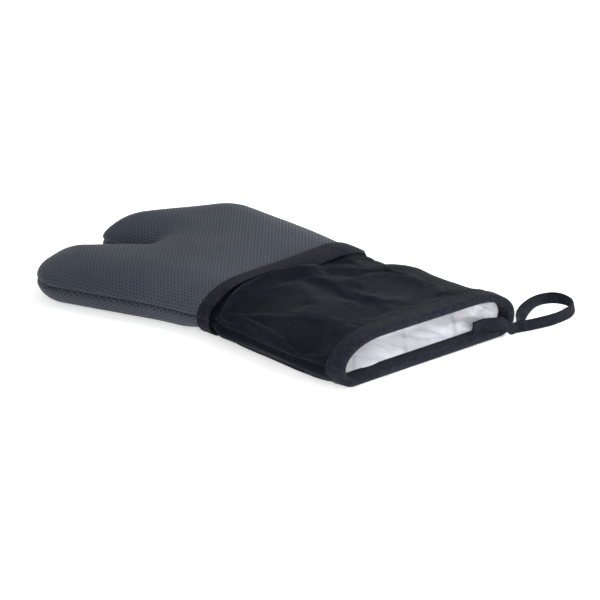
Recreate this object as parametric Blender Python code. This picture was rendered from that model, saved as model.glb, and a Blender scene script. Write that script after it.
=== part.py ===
"""Quilted heat-resistant oven mitt, lying flat on its palm.

+X points out of the cuff's mouth, +Y towards the thumb, +Z up.  The origin is on the floor under the
middle of the palm.  Every layer is a panel between two copies of one pillow surface, and each copy is
that surface moved inwards by its inset, so a layer fits inside the one around it at any size.
"""

import math

import bpy
import bmesh
import numpy as np

MM = 0.001

# Plan of the mitt
JOINT_X = 62 * MM  # line where the cuff is sewn to the hand
CUFF_LENGTH = 151 * MM  # joint line to the middle of the mouth
CUFF_WIDTH = 187 * MM
WRIST_WIDTH = 174 * MM
MOUTH_WIDTH = 170 * MM
MOUTH_SKEW = 22 * MM  # the thumb side of the cuff is this much longer
PALM_WIDTH = 191 * MM
FINGERS_REACH = 118 * MM  # origin to the end of the fingers
FINGERS_SIDE = 138 * MM  # origin to the outer side of the fingers
THUMB_REACH = 142 * MM
THUMB_SIDE = 97 * MM
NOTCH_X = -72 * MM  # bottom of the gap between fingers and thumb
NOTCH_FINGERS_Y = -29 * MM  # where the gap meets the fingers
NOTCH_THUMB_Y = -17 * MM  # where it meets the thumb
NOTCH_SLANT = 2 * MM  # the bottom of the gap runs this far back towards the fingers
PALM_OUTER = 42 * MM  # joint line to the palm's full width on the little-finger side
PALM_INNER = 82 * MM  # the same on the thumb side
CUFF_BULGE = 0.6  # share of the cuff's length at which it is widest
FINGERS_SLANT = 21 * MM  # how far the blunt end of the fingers slants back
FINGERS_END = 60 * MM  # length of that end, across the fingers
THUMB_SLANT = 18 * MM  # how far the thumb's end slants back towards the gap
THUMB_GAP_Y = -36 * MM  # the thumb's corner next to the fingers
THUMB_TIP_Y = 2 * MM  # the thumb's foremost corner
THUMB_SHOULDER = 50 * MM  # that corner to the thumb's outer side, along the mitt
BEYOND_MOUTH = 80 * MM  # the outline runs on this far, to be cut at the mouth

# Radii that round the corners of the plan
MOUTH_RADIUS = 100 * MM
CUFF_RADIUS = 200 * MM
WRIST_RADIUS = 80 * MM
PALM_RADIUS = 150 * MM
FINGERS_OUTER_RADIUS = 32 * MM
FINGERS_INNER_RADIUS = 30 * MM
NOTCH_RADIUS = 4 * MM
THUMB_TIP_RADIUS = 14 * MM
THUMB_RADIUS = 40 * MM
LEAST_RADIUS = 0.5 * MM
ARC_SHARE = 0.98  # the most of a straight edge that the arcs at its two ends may take
TIP_CUT = 0.4 * MM  # the last chord of a lobe stays this far from its tip
LOBE_HALF = 60 * MM  # a lobe's outline begins this far back along its fold line

# Height of the mitt
SEAM_HEIGHT = 16 * MM  # the edge seam above the floor
CROWN_HEIGHT = 21 * MM  # top of the hand above the seam
CROWN_REACH = 40 * MM  # how far in from the edge the top becomes level
SOLE_REACH = 13 * MM  # the same for the underside
MOUTH_HEIGHT = 23 * MM  # top of the open mouth above the seam
CUFF_CLEARANCE = 2.4 * MM  # underside of the cuff above the floor
STEP_LENGTH = 20 * MM  # length over which the underside rises to the cuff

# Cloth
SHELL = 2.2 * MM
WADDING = 3.4 * MM
LINING = 1.2 * MM
CUFF_CLOTH = 1.0 * MM
CUFF_WADDING = 1.2 * MM
CUFF_LINING = 0.8 * MM
TAPE = 0.9 * MM
BAND_WIDTH = 12 * MM
BINDING_WIDTH = 11 * MM
THREAD = 0.6 * MM
STITCH_SETBACK = 2.5 * MM  # topstitching to the edge of the binding
GAP = 0.3 * MM  # clearance between neighbouring pieces
TAPE_GAP = 0.5 * MM  # clearance between a tape and the cloth it covers
FOLD_GAP = 0.3 * MM  # each side of a fold line keeps this distance from it

# Folds
FOLD_X = -78 * MM  # both fold lines start in the gap between fingers and thumb
FOLD_Y = -27 * MM
FINGERS_ANGLE = math.radians(199.3)  # direction in which the fingers point
THUMB_ANGLE = math.radians(167.2)

# Hanging loop
LOOP_LENGTH = 70 * MM
LOOP_WIDTH = 29 * MM
LOOP_TAPE = 10 * MM  # width of the tape, which stands on its edge
LOOP_THICKNESS = 1.6 * MM
LOOP_FULLNESS = 0.65  # share of the width that each strand bows out
LOOP_OPENING = 0.75  # turn at which the strands leave the root
LOOP_CLEARANCE = 2.4 * MM  # loop's root to the mouth's corner, outwards and forwards
LOOP_FLOOR = 0.4 * MM
LOOP_RISE = 3 * MM  # the strand next to the cuff stands higher
LOOP_TURN = math.radians(94)  # direction of the loop from +X
TAIL_LENGTH = 38 * MM  # end of the tape to the mouth's corner
TAIL_INSIDE = 8 * MM  # stretch that stays inside the mouth
TAIL_CROSSING = 14 * MM  # stretch over which it crosses the lip
TAIL_DROP = 14 * MM  # stretch over which it comes down in front of the lip
TAIL_DEPTH = 4 * MM  # how far inside the mouth it starts
TAIL_GAP = 1.2 * MM  # end of the tail to the loop

# Resolution
CROSS_SPANS = 13
NOTCH_SPANS = 5  # of those, round the bottom of the notch
HAND_ROWS = 7
CUFF_ROWS = 6
LOBE_ROWS = 6
LOBE_SPANS = 8
ARC_SPANS = 6
SIDE_SAMPLES = 200  # points at which the length of the hand's sides is measured
ROW_CROWDING = 1.6  # power that draws the cuff's rows towards the band
LOOP_POINTS = 26
TAIL_POINTS = 16

COLOURS = {
    "shell": ((0.075, 0.082, 0.097), 0.62),
    "cotton": ((0.019, 0.020, 0.026), 0.9),
    "tape": ((0.026, 0.026, 0.034), 0.82),
    "wadding": ((0.72, 0.71, 0.68), 0.95),
    "lining": ((0.78, 0.78, 0.85), 0.88),
    "thread": ((0.012, 0.012, 0.016), 0.7),
}


def clear_scene():
    for item in list(bpy.data.objects):
        bpy.data.objects.remove(item)


def material(kind, name):
    colour, roughness = COLOURS[kind]
    made = bpy.data.materials.new(name + "_" + kind)
    made.use_nodes = True
    shader = made.node_tree.nodes["Principled BSDF"]
    shader.inputs["Base Color"].default_value = (*colour, 1)
    shader.inputs["Roughness"].default_value = roughness
    return made


# ---- the outline and the pillow surface


def direction(angle):
    return np.array([math.cos(angle), math.sin(angle)])


def mouth_line():
    """Middle of the mouth's edge and the direction in which the edge runs."""
    middle = np.array([JOINT_X + CUFF_LENGTH, 0.0])
    along = np.array([MOUTH_SKEW, MOUTH_WIDTH])
    return middle, along / np.linalg.norm(along)


def outline_corners():
    """Corners of the sewn edge, x, y and the radius that rounds each, from the mouth round to the mouth."""
    mouth = JOINT_X + CUFF_LENGTH
    beyond = mouth + BEYOND_MOUTH
    half_mouth = MOUTH_WIDTH / 2
    middle_cuff = JOINT_X + CUFF_BULGE * CUFF_LENGTH
    return [
        (beyond, -half_mouth, 0),
        (mouth - MOUTH_SKEW / 2, -half_mouth, MOUTH_RADIUS),
        (middle_cuff, -CUFF_WIDTH / 2, CUFF_RADIUS),
        (JOINT_X, -WRIST_WIDTH / 2, WRIST_RADIUS),
        (JOINT_X - PALM_OUTER, -PALM_WIDTH / 2, PALM_RADIUS),
        (FINGERS_SLANT - FINGERS_REACH, -FINGERS_SIDE, FINGERS_OUTER_RADIUS),
        (-FINGERS_REACH, FINGERS_END - FINGERS_SIDE, FINGERS_INNER_RADIUS),
        (NOTCH_X + NOTCH_SLANT, NOTCH_FINGERS_Y, NOTCH_RADIUS),
        (NOTCH_X - NOTCH_SLANT, NOTCH_THUMB_Y, NOTCH_RADIUS),
        (THUMB_SLANT - THUMB_REACH, THUMB_GAP_Y, THUMB_TIP_RADIUS),
        (-THUMB_REACH, THUMB_TIP_Y, THUMB_RADIUS),
        (THUMB_SHOULDER - THUMB_REACH, THUMB_SIDE, THUMB_RADIUS),
        (JOINT_X - PALM_INNER, PALM_WIDTH / 2, PALM_RADIUS),
        (JOINT_X, WRIST_WIDTH / 2, WRIST_RADIUS),
        (middle_cuff, CUFF_WIDTH / 2, CUFF_RADIUS),
        (mouth + MOUTH_SKEW / 2, half_mouth, MOUTH_RADIUS),
        (beyond, half_mouth, 0),
    ]


def fitted_radii(places, radii):
    """The radii, cut down where two neighbouring arcs would not fit on the edge between them."""
    edges = np.diff(places, axis=0)
    lengths = np.linalg.norm(edges, axis=1)
    turns = np.diff(np.unwrap(np.arctan2(edges[:, 1], edges[:, 0])))
    needed = np.zeros(len(places))
    needed[1:-1] = radii[1:-1] * np.tan(abs(turns) / 2)
    share = np.minimum(1, ARC_SHARE * lengths / (needed[:-1] + needed[1:]))
    return radii * np.minimum(np.append(share, 1), np.append(1, share))


def outline(inset):
    """The sewn edge moved inwards by inset: straight edges joined by arcs that keep their centres."""
    corners = np.array(outline_corners())
    places = corners[:, :2]
    radii = fitted_radii(places, corners[:, 2])
    runs = np.diff(places, axis=0)
    runs /= np.linalg.norm(runs, axis=1)[:, None]
    inward = np.column_stack([runs[:, 1], -runs[:, 0]])
    points = [places[0] + inset * inward[0]]
    for i in range(1, len(places) - 1):
        before, after = runs[i - 1], runs[i]
        turn = math.atan2(before[0] * after[1] - before[1] * after[0], before @ after)
        side = -1 if turn < 0 else 1  # a turn to the right keeps the mitt inside it
        corner = places[i] + inset * (inward[i - 1] + inward[i]) / (1 + inward[i - 1] @ inward[i])
        radius = max(radii[i] + side * inset, LEAST_RADIUS)
        start = corner - before * radius * math.tan(abs(turn) / 2)
        centre = start - side * inward[i - 1] * radius
        for step in np.linspace(0, turn, ARC_SPANS + 1):
            arm = start - centre
            turned = [
                arm[0] * math.cos(step) - arm[1] * math.sin(step),
                arm[0] * math.sin(step) + arm[1] * math.cos(step),
            ]
            points.append(centre + turned)
    points.append(places[-1] + inset * inward[-1])
    return np.array(points)


def edge_distance(places):
    """Distance inwards from the sewn edge to each plan point, negative outside it."""
    edge = outline(0)
    start, run = edge[:-1], np.diff(edge, axis=0)
    away = places[..., None, :] - start
    share = np.clip((away * run).sum(-1) / (run * run).sum(-1), 0, 1)
    offset = away - share[..., None] * run
    beside = offset[..., 0] * run[:, 1] - offset[..., 1] * run[:, 0]
    length = np.linalg.norm(offset, axis=-1)
    nearest = length.argmin(-1)[..., None]
    length = np.take_along_axis(length, nearest, -1)[..., 0]
    return np.where(np.take_along_axis(beside, nearest, -1)[..., 0] < 0, -length, length)


def smooth(value):
    value = np.clip(value, 0, 1)
    return value * value * (3 - 2 * value)


def height(places, inset, side):
    """Rise above or below the seam of the surface that lies inset under the outside: a quarter of an
    ellipse from the edge inwards, then level."""
    x = places[..., 0]
    if side > 0:
        share = smooth((x - JOINT_X) / CUFF_LENGTH)
        full = CROWN_HEIGHT + (MOUTH_HEIGHT - CROWN_HEIGHT) * share
        reach = CROWN_REACH
    else:
        share = smooth((x - JOINT_X + BAND_WIDTH + STEP_LENGTH) / STEP_LENGTH)
        full = SEAM_HEIGHT - CUFF_CLEARANCE * share
        reach = SOLE_REACH
    depth = np.clip((edge_distance(places) - inset) / (reach - inset), 0, 1)
    return (full - inset) * np.sqrt(1 - (1 - depth) ** 2)


def spacing(spans):
    """Shares from 0 to 1 that lie closer together at both ends."""
    return (1 - np.cos(np.linspace(0, math.pi, spans + 1))) / 2


def crossings(point, along, path):
    """Where a straight line crosses a path: distance along the line, and position along the path."""
    offset = path - point
    beside = offset[:, 0] * along[1] - offset[:, 1] * along[0]
    steps = np.nonzero(beside[:-1] * beside[1:] < 0)[0]
    share = beside[steps] / (beside[steps] - beside[steps + 1])
    places = path[steps] + share[:, None] * (path[steps + 1] - path[steps])
    reach = (places - point) @ along
    order = np.argsort(reach)
    return places[order], (steps + share)[order]


def along_path(path, positions):
    index = np.arange(len(path))
    return np.column_stack([np.interp(positions, index, path[:, i]) for i in (0, 1)])


def between(start, end, shares):
    return start + np.multiply.outer(shares, end - start)


# ---- plan grids: rows from the wrist outwards, each row from the little-finger side to the thumb side


def fold_line(angle, side, distance):
    """Point and direction of a line parallel to a fold, distance away in the direction the lobe points."""
    start = np.array([FOLD_X, FOLD_Y]) + distance * direction(angle)
    return start, direction(angle + side * math.pi / 2)


def cuff_grid(inset):
    path = outline(inset)
    wrist, _ = crossings(np.array([JOINT_X + GAP / 2, 0]), np.array([0.0, 1.0]), path)
    mouth, _ = crossings(*mouth_line(), path)
    rows = []
    for share in np.linspace(0, 1, CUFF_ROWS + 1) ** ROW_CROWDING:
        ends = []
        for i in (0, -1):
            x = wrist[i][0] + share * (mouth[i][0] - wrist[i][0])
            level, _ = crossings(np.array([x, 0]), np.array([0.0, 1.0]), path)
            ends.append(level[i])
        rows.append(between(ends[0], ends[1], spacing(CROSS_SPANS)))
    return np.array(rows)


def hand_front(path):
    """Front edge of the hand: the fingers' fold, round the bottom of the notch, the thumb's fold."""
    near, near_at = crossings(*fold_line(FINGERS_ANGLE, 1, -FOLD_GAP), path)
    far, far_at = crossings(*fold_line(THUMB_ANGLE, -1, -FOLD_GAP), path)
    side_spans = (CROSS_SPANS - NOTCH_SPANS) // 2
    notch = along_path(path, np.linspace(near_at[-2], far_at[-2], CROSS_SPANS - 2 * side_spans + 1))
    return np.concatenate(
        [
            between(near[-1], notch[0], spacing(side_spans))[:-1],
            notch,
            between(notch[-1], far[-1], spacing(side_spans))[1:],
        ]
    )


def hand_grid(inset):
    """Coons patch between the joint line, both sides and the front edge."""
    path = outline(inset)
    wrist, wrist_at = crossings(np.array([JOINT_X - GAP / 2, 0]), np.array([0.0, 1.0]), path)
    front = hand_front(path)
    back = between(wrist[0], wrist[-1], spacing(CROSS_SPANS))
    near_at = crossings(*fold_line(FINGERS_ANGLE, 1, -FOLD_GAP), path)[1][-1]
    far_at = crossings(*fold_line(THUMB_ANGLE, -1, -FOLD_GAP), path)[1][-1]
    fine = np.linspace(0, 1, SIDE_SAMPLES)
    t = np.linspace(0, 1, HAND_ROWS + 1)
    sides = []
    for first, last in ((wrist_at[0], near_at), (wrist_at[-1], far_at)):
        run = along_path(path, first + (last - first) * fine)
        length = np.concatenate([[0], np.cumsum(np.linalg.norm(np.diff(run, axis=0), axis=1))])
        sides.append(along_path(run, np.interp(t * length[-1], length, np.arange(SIDE_SAMPLES))))
    near, far = sides
    u = spacing(CROSS_SPANS)[None, :, None]
    t = t[:, None, None]
    ruled = (1 - t) * back[None] + t * front[None] + (1 - u) * near[:, None] + u * far[:, None]
    corners = (1 - t) * ((1 - u) * back[0] + u * back[-1]) + t * ((1 - u) * front[0] + u * front[-1])
    return ruled - corners


def lobe_grid(inset, angle, side):
    """Chords parallel to the lobe's fold line, closer together towards its tip."""
    path = outline(inset)
    start, across = fold_line(angle, side, 0)
    lobe = path[path @ across > start @ across - LOBE_HALF]
    tip = ((lobe - start) @ direction(angle)).max() - TIP_CUT
    rows = []
    for share in np.sin(np.linspace(0, math.pi / 2, LOBE_ROWS + 1)):
        line = fold_line(angle, side, FOLD_GAP + share * (tip - FOLD_GAP))
        ends, _ = crossings(*line, path)
        rows.append(between(ends[-1], ends[-2], spacing(LOBE_SPANS)))
    return np.array(rows)


# ---- solids


def add_mesh(name, kind, points, faces):
    mesh = bpy.data.meshes.new(name)
    mesh.from_pydata([tuple(p) for p in points], [], faces)
    shape = bmesh.new()
    shape.from_mesh(mesh)
    bmesh.ops.recalc_face_normals(shape, faces=shape.faces)
    shape.to_mesh(mesh)
    shape.free()
    mesh.materials.append(material(kind, name))
    made = bpy.data.objects.new(name, mesh)
    COLLECTION.objects.link(made)
    return made


def grid_faces(rows, columns, start, wrap_rows=False, wrap_columns=False):
    """Two triangles for each cell of a grid, always split along the same diagonal."""
    faces = []
    for i in range(rows if wrap_rows else rows - 1):
        for j in range(columns if wrap_columns else columns - 1):
            a = start + i * columns + j
            b = start + i * columns + (j + 1) % columns
            c = start + (i + 1) % rows * columns + (j + 1) % columns
            d = start + (i + 1) % rows * columns + j
            faces += [(a, b, c), (a, c, d)]
    return faces


def panel(name, kind, grid, inset, thickness, side):
    """One layer: the pillow surface at its inset, the same surface a thickness further in, and a rim."""
    layers = []
    for depth in (inset, inset + thickness):
        plan = grid(depth)
        rise = np.maximum(height(plan, depth, side), GAP / 2)
        layers.append(np.concatenate([plan, (SEAM_HEIGHT + side * rise)[..., None]], axis=-1))
    rows, columns = layers[0].shape[:2]
    count = rows * columns
    points = np.concatenate([layer.reshape(-1, 3) for layer in layers])
    faces = grid_faces(rows, columns, 0) + grid_faces(rows, columns, count)
    index = np.arange(count).reshape(rows, columns)
    edge = np.concatenate([index[0, :-1], index[:-1, -1], index[-1, :0:-1], index[:0:-1, 0]])
    for a, b in zip(edge, np.roll(edge, -1)):
        faces += [(a, b, b + count), (a, b + count, a + count)]
    return add_mesh(name, kind, points, [tuple(int(i) for i in face) for face in faces])


def ring_point_rows(point, along, inset):
    """Closed section of the pillow surface on a vertical plane, over the top and back underneath."""
    ends, _ = crossings(point, along, outline(inset))
    plan = between(ends[0], ends[-1], spacing(CROSS_SPANS))
    upper = SEAM_HEIGHT + height(plan, inset, 1)
    lower = SEAM_HEIGHT - height(plan, inset, -1)
    over = np.column_stack([plan, upper])
    under = np.column_stack([plan, lower])[-2:0:-1]
    return np.concatenate([over, under])


def ring(name, kind, point, along, section):
    """A band round the mitt: section lists (distance towards the mouth, inset) round its profile."""
    rows = [ring_point_rows(point + [shift, 0], along, inset) for shift, inset in section]
    points = np.concatenate(rows)
    faces = grid_faces(len(section), len(rows[0]), 0, wrap_rows=True, wrap_columns=True)
    return add_mesh(name, kind, points, faces)


def layer_insets(thicknesses):
    inset = 0.0
    for thickness in thicknesses:
        yield inset, thickness
        inset += thickness + GAP


def lobe_maker(angle, side):
    return lambda inset: lobe_grid(inset, angle, side)


def make_panels():
    hand = (SHELL, WADDING, LINING)
    cuff = (CUFF_CLOTH, CUFF_WADDING, CUFF_LINING)
    regions = (
        ("hand", hand_grid, hand, ("shell", "wadding", "lining")),
        ("fingers", lobe_maker(FINGERS_ANGLE, 1), hand, ("shell", "wadding", "lining")),
        ("thumb", lobe_maker(THUMB_ANGLE, -1), hand, ("shell", "wadding", "lining")),
        ("cuff", cuff_grid, cuff, ("cotton", "wadding", "lining")),
    )
    for region, grid, thicknesses, kinds in regions:
        for kind, (inset, thickness) in zip(kinds, layer_insets(thicknesses)):
            for label, side in (("upper", 1), ("lower", -1)):
                panel(f"{region}_{kind}_{label}", kind, grid, inset, thickness, side)


def cuff_wall():
    """Thickness of the cuff's layers with the clearances between them."""
    return CUFF_CLOTH + CUFF_WADDING + CUFF_LINING + 2 * GAP


def make_tapes():
    wrist = np.array([JOINT_X, 0.0])
    across = np.array([0.0, 1.0])
    half = BAND_WIDTH / 2
    inside = -TAPE_GAP
    outside = inside - TAPE
    section = [(-half, outside), (half, outside), (half, inside), (-half, inside)]
    ring("wrist_band", "tape", wrist, across, section)
    middle, along = mouth_line()
    wall = cuff_wall() + TAPE_GAP
    end = GAP + TAPE
    section = [
        (-BINDING_WIDTH, outside),
        (end, outside),
        (end, wall + TAPE),
        (-BINDING_WIDTH, wall + TAPE),
        (-BINDING_WIDTH, wall),
        (GAP, wall),
        (GAP, inside),
        (-BINDING_WIDTH, inside),
    ]
    ring("mouth_binding", "tape", middle, along, section)


def stitch_section(shift, inset):
    """Round section of a thread lying on a surface, for a ring."""
    angles = np.arange(6) * math.pi / 3
    return [(shift + THREAD / 2 * math.cos(a), inset + THREAD / 2 * math.sin(a)) for a in angles]


def make_stitches():
    """Topstitching that holds the folded tape down on the outside and on the inside of the mouth."""
    middle, along = mouth_line()
    outer = -TAPE_GAP - TAPE - GAP - THREAD / 2
    inner = cuff_wall() + TAPE_GAP + TAPE + GAP + THREAD / 2
    back = STITCH_SETBACK - BINDING_WIDTH
    ring("binding_stitch_outer", "thread", middle, along, stitch_section(back, outer))
    ring("binding_stitch_inner", "thread", middle, along, stitch_section(back, inner))


def seam_thread(name, path, first, last):
    """Thread along part of the edge seam, as a round wire with capped ends."""
    low, high = sorted((first, last))
    line = along_path(path, np.concatenate([[low], np.arange(math.floor(low) + 1, high), [high]]))
    curve = bpy.data.curves.new(name, "CURVE")
    curve.dimensions = "3D"
    curve.bevel_depth = THREAD / 2
    curve.bevel_resolution = 1
    curve.use_fill_caps = True
    spline = curve.splines.new("POLY")
    spline.points.add(len(line) - 1)
    for point, (x, y) in zip(spline.points, line):
        point.co = (x, y, SEAM_HEIGHT, 1)
    curve.materials.append(material("thread", name))
    made = bpy.data.objects.new(name, curve)
    COLLECTION.objects.link(made)


def make_seams():
    """The edge seam, one thread for each stretch between the tapes and the folds."""
    path = outline(-GAP - THREAD / 2)
    across = np.array([0.0, 1.0])
    half = BAND_WIDTH / 2 + GAP

    def cut(x):
        return crossings(np.array([x, 0]), across, path)[1]

    middle, along = mouth_line()
    mouth = crossings(middle - [BINDING_WIDTH + GAP, 0], along, path)[1]
    fingers = [crossings(*fold_line(FINGERS_ANGLE, 1, d), path)[1] for d in (-FOLD_GAP, FOLD_GAP)]
    thumb = [crossings(*fold_line(THUMB_ANGLE, -1, d), path)[1] for d in (-FOLD_GAP, FOLD_GAP)]
    stretches = {
        "cuff_seam_outer": (mouth[0], cut(JOINT_X + half)[0]),
        "hand_seam_outer": (cut(JOINT_X - half)[0], fingers[0][-1]),
        "fingers_seam": (fingers[1][-1], fingers[1][-2]),
        "notch_seam": (fingers[0][-2], thumb[0][-2]),
        "thumb_seam": (thumb[1][-2], thumb[1][-1]),
        "hand_seam_thumb_side": (thumb[0][-1], cut(JOINT_X - half)[-1]),
        "cuff_seam_thumb_side": (cut(JOINT_X + half)[-1], mouth[-1]),
    }
    for name, (first, last) in stretches.items():
        seam_thread(name, path, first, last)


def mouth_corner():
    """Corner of the mouth on the thumb side."""
    ends, _ = crossings(*mouth_line(), outline(0))
    return ends[-1]


def strip_points(line, run, low):
    """Corners of a tape that stands on its edge along a line, as four rows."""
    run = run / np.linalg.norm(run, axis=1)[:, None]
    aside = np.column_stack([run[:, 1], -run[:, 0]]) * LOOP_THICKNESS / 2
    section = ((-1, 0), (1, 0), (1, 1), (-1, 1))
    return np.concatenate([np.column_stack([line + s * aside, low + up * LOOP_TAPE]) for s, up in section])


def make_loop():
    """A strip of tape on its edge, bent into a teardrop that starts at its root."""
    _, along = mouth_line()
    root = mouth_corner() + LOOP_CLEARANCE * (along + [along[1], -along[0]])
    turns = np.concatenate([[0], np.linspace(LOOP_OPENING, 2 * math.pi - LOOP_OPENING, LOOP_POINTS)])
    reach = LOOP_LENGTH * (1 - np.cos(turns)) / 2
    beside = -LOOP_FULLNESS * LOOP_WIDTH * np.sin(turns) * np.sin(turns / 2)
    ahead, left = direction(LOOP_TURN), direction(LOOP_TURN + math.pi / 2)
    line = root + np.outer(reach, ahead) + np.outer(beside, left)
    run = np.roll(line, -1, axis=0) - np.roll(line, 1, axis=0)
    low = LOOP_FLOOR + LOOP_RISE * np.clip(-np.sin(turns), 0, 1)
    faces = grid_faces(4, len(line), 0, wrap_rows=True, wrap_columns=True)
    loop = add_mesh("hanging_loop", "tape", strip_points(line, run, low) - [*root, 0], faces)
    loop.location = (*root, 0)


def make_loop_tail():
    """Sewn end of the loop's tape: on its edge above the lower lip inside the mouth, then out over the
    lip and down in front of it, to just short of the loop."""
    _, along = mouth_line()
    place = np.linspace(-TAIL_LENGTH, LOOP_CLEARANCE - TAIL_GAP, TAIL_POINTS)
    crossed = smooth((place + TAIL_LENGTH - TAIL_INSIDE) / TAIL_CROSSING)
    ahead = (LOOP_CLEARANCE + TAIL_DEPTH) * crossed - TAIL_DEPTH
    inside = CUFF_CLEARANCE + cuff_wall() + TAPE_GAP + TAPE + THREAD + 2 * GAP
    dropped = smooth((place + TAIL_LENGTH - TAIL_INSIDE - TAIL_CROSSING) / TAIL_DROP)
    low = inside + (LOOP_FLOOR - inside) * dropped
    line = mouth_corner() + np.outer(place, along) + np.outer(ahead, [along[1], -along[0]])
    points = strip_points(line, np.gradient(line, axis=0), low)
    last = len(line) - 1
    caps = [tuple(i * len(line) + end for i in range(4)) for end in (0, last)]
    add_mesh("loop_tail", "tape", points, grid_faces(4, len(line), 0, wrap_rows=True) + caps)


clear_scene()
COLLECTION = bpy.data.collections.new("oven_mitt")
bpy.context.scene.collection.children.link(COLLECTION)
make_panels()
make_tapes()
make_stitches()
make_seams()
make_loop()
make_loop_tail()
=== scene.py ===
import math

import bpy
import numpy as np
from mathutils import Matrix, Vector


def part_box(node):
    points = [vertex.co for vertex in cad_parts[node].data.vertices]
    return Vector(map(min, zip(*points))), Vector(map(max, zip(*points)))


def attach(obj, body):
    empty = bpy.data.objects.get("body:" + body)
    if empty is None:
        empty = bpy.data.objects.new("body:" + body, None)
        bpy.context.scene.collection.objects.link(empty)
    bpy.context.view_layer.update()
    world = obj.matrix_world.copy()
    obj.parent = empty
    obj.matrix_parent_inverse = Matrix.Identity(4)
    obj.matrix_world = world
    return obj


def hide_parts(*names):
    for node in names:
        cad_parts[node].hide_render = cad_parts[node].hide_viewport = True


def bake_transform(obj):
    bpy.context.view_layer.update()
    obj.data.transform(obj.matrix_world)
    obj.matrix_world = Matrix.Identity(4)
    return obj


mm = 0.001
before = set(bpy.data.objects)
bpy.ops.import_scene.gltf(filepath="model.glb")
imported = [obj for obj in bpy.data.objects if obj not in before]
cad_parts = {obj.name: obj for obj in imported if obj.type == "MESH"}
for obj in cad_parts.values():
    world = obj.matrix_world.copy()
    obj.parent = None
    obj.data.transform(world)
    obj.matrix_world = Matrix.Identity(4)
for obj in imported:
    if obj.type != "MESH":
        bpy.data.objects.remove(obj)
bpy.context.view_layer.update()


# Plan and heights of the mitt, in the frame's own axes: +X out of the cuff, +Y to the thumb, +Z up.
bandLow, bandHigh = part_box("wrist_band")
jointX = (bandLow.x + bandHigh.x) / 2
mitt = {
    "mouthX": jointX + 151 * mm,  # middle of the mouth
    "skew": 22 * mm,  # the thumb side of the cuff is longer
    "mouthHalf": 85 * mm,
    "cuffHalf": 93.5 * mm,
    "cuffMiddle": 90.6 * mm,  # from the joint to the cuff's widest place
    "wristHalf": 87 * mm,
    "palmHalf": 95.5 * mm,
    "palmBack": (42 * mm, 82 * mm),  # from the joint to the palm's widest place, on either side
    "sideRadii": (0.1, 0.2, 0.08, 0.15),  # metres, at the mouth, the cuff, the wrist and the palm
    "leastRadius": 0.4 * mm,
    "beyondMouth": 80 * mm,  # the sides run on, to be cut off along the slanting mouth
    "seam": 16 * mm,  # height of the edge seam
    "crown": 21 * mm,
    "crownReach": 40 * mm,
    "soleReach": 13 * mm,
    "mouthRise": 23 * mm,
    "cuffLift": 2.4 * mm,
    "liftStart": 32 * mm,  # where the underside begins to rise, before the joint
    "liftRun": 20 * mm,
    "foldStart": (-78 * mm, -27 * mm),
    "fingersAngle": math.radians(199.3),
    "thumbAngle": math.radians(167.2),
    "fingersBlend": (-5.5 * mm, 27 * mm),  # where the bend begins and ends, from the fold line
    "thumbBlend": (-5.5 * mm, 27 * mm),
}

# corners of both lobes from the fingers' outer side to the thumb's, in mm: x, y and rounding radius
lobeCorners = (
    (-97, -138, 32), (-118, -78, 30),  # fingers
    (-70, -29, 4), (-74, -17, 4),  # bottom of the notch
    (-124, -36, 14), (-142, 2, 40), (-92, 97, 40),  # thumb
)


def edgeCorners():
    # corners of the sewn edge: down one side from the mouth, round the lobes and up the other side
    m = mitt
    atMouth, atCuff, atWrist, atPalm = m["sideRadii"]
    near, far = [
        [
            (m["mouthX"] + m["beyondMouth"], side * m["mouthHalf"], 0),
            (m["mouthX"] + side * m["skew"] / 2, side * m["mouthHalf"], atMouth),
            (jointX + m["cuffMiddle"], side * m["cuffHalf"], atCuff),
            (jointX, side * m["wristHalf"], atWrist),
            (jointX - back, side * m["palmHalf"], atPalm),
        ]
        for side, back in zip((-1, 1), m["palmBack"])
    ]
    return np.concatenate([near, np.array(lobeCorners) * mm, far[::-1]])


def edgeLine(inset, arcSteps=14):
    # sewn edge moved inwards by inset: straight runs joined by arcs that keep their centres
    corners = edgeCorners()
    places, radii = corners[:, :2], corners[:, 2]
    runs = unit(np.diff(places, axis=0))
    inward = np.column_stack([runs[:, 1], -runs[:, 0]])
    line = [places[:1] + inset * inward[0]]
    for i in range(1, len(places) - 1):
        before, after = runs[i - 1], runs[i]
        turn = math.atan2(before[0] * after[1] - before[1] * after[0], before @ after)
        side = math.copysign(1, turn)
        corner = places[i] + inset * (inward[i - 1] + inward[i]) / (1 + inward[i - 1] @ inward[i])
        radius = max(radii[i] + side * inset, mitt["leastRadius"])
        start = corner - before * radius * math.tan(abs(turn) / 2)
        centre = start - side * inward[i - 1] * radius
        swing = np.linspace(0, turn, arcSteps + 1)
        c, s = np.cos(swing), np.sin(swing)
        arm = start - centre
        line.append(centre + np.column_stack([arm[0] * c - arm[1] * s, arm[0] * s + arm[1] * c]))
    line.append(places[-1:] + inset * inward[-1])
    return np.concatenate(line)


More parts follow.
